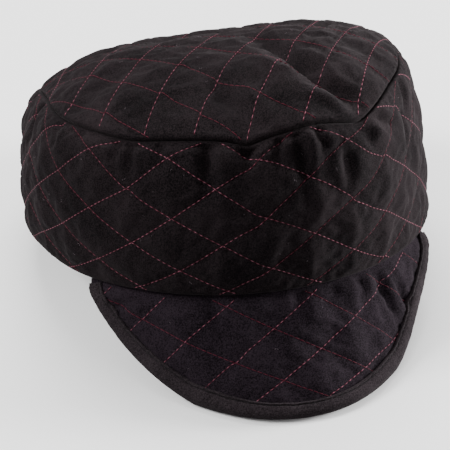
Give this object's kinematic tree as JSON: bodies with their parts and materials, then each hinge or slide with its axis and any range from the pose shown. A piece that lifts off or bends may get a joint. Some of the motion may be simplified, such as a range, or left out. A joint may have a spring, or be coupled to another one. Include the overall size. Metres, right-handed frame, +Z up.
{
  "type": "quilted peaked cap",
  "caption": "Soft diamond-quilted cloth cap with an oval crown top, a tall side band and a short curved bill bound with tape, slouched and resting on its back rim and bill edge.",
  "frame": {"origin": "on the surface the cap rests on, under the middle of its footprint box", "axes": "+Z up, front and bill toward -Y, wearer's left toward +X as the cap faces the viewer"},
  "size_m": [0.196, 0.2446, 0.1221],
  "materials": {
    "crown_cloth": "matte black quilted cotton with pinkish red quilting thread",
    "bill_cloth": "matte black quilted cotton, slightly smoother, with pinkish red quilting thread",
    "tape_cloth": "matte black folded bias tape with black edge stitching"
  },
  "bodies": {
    "root": {"crown_top": "crown_cloth", "side_band": "crown_cloth", "bill": "bill_cloth", "bill_binding": "tape_cloth"}
  },
  "joints": []
}
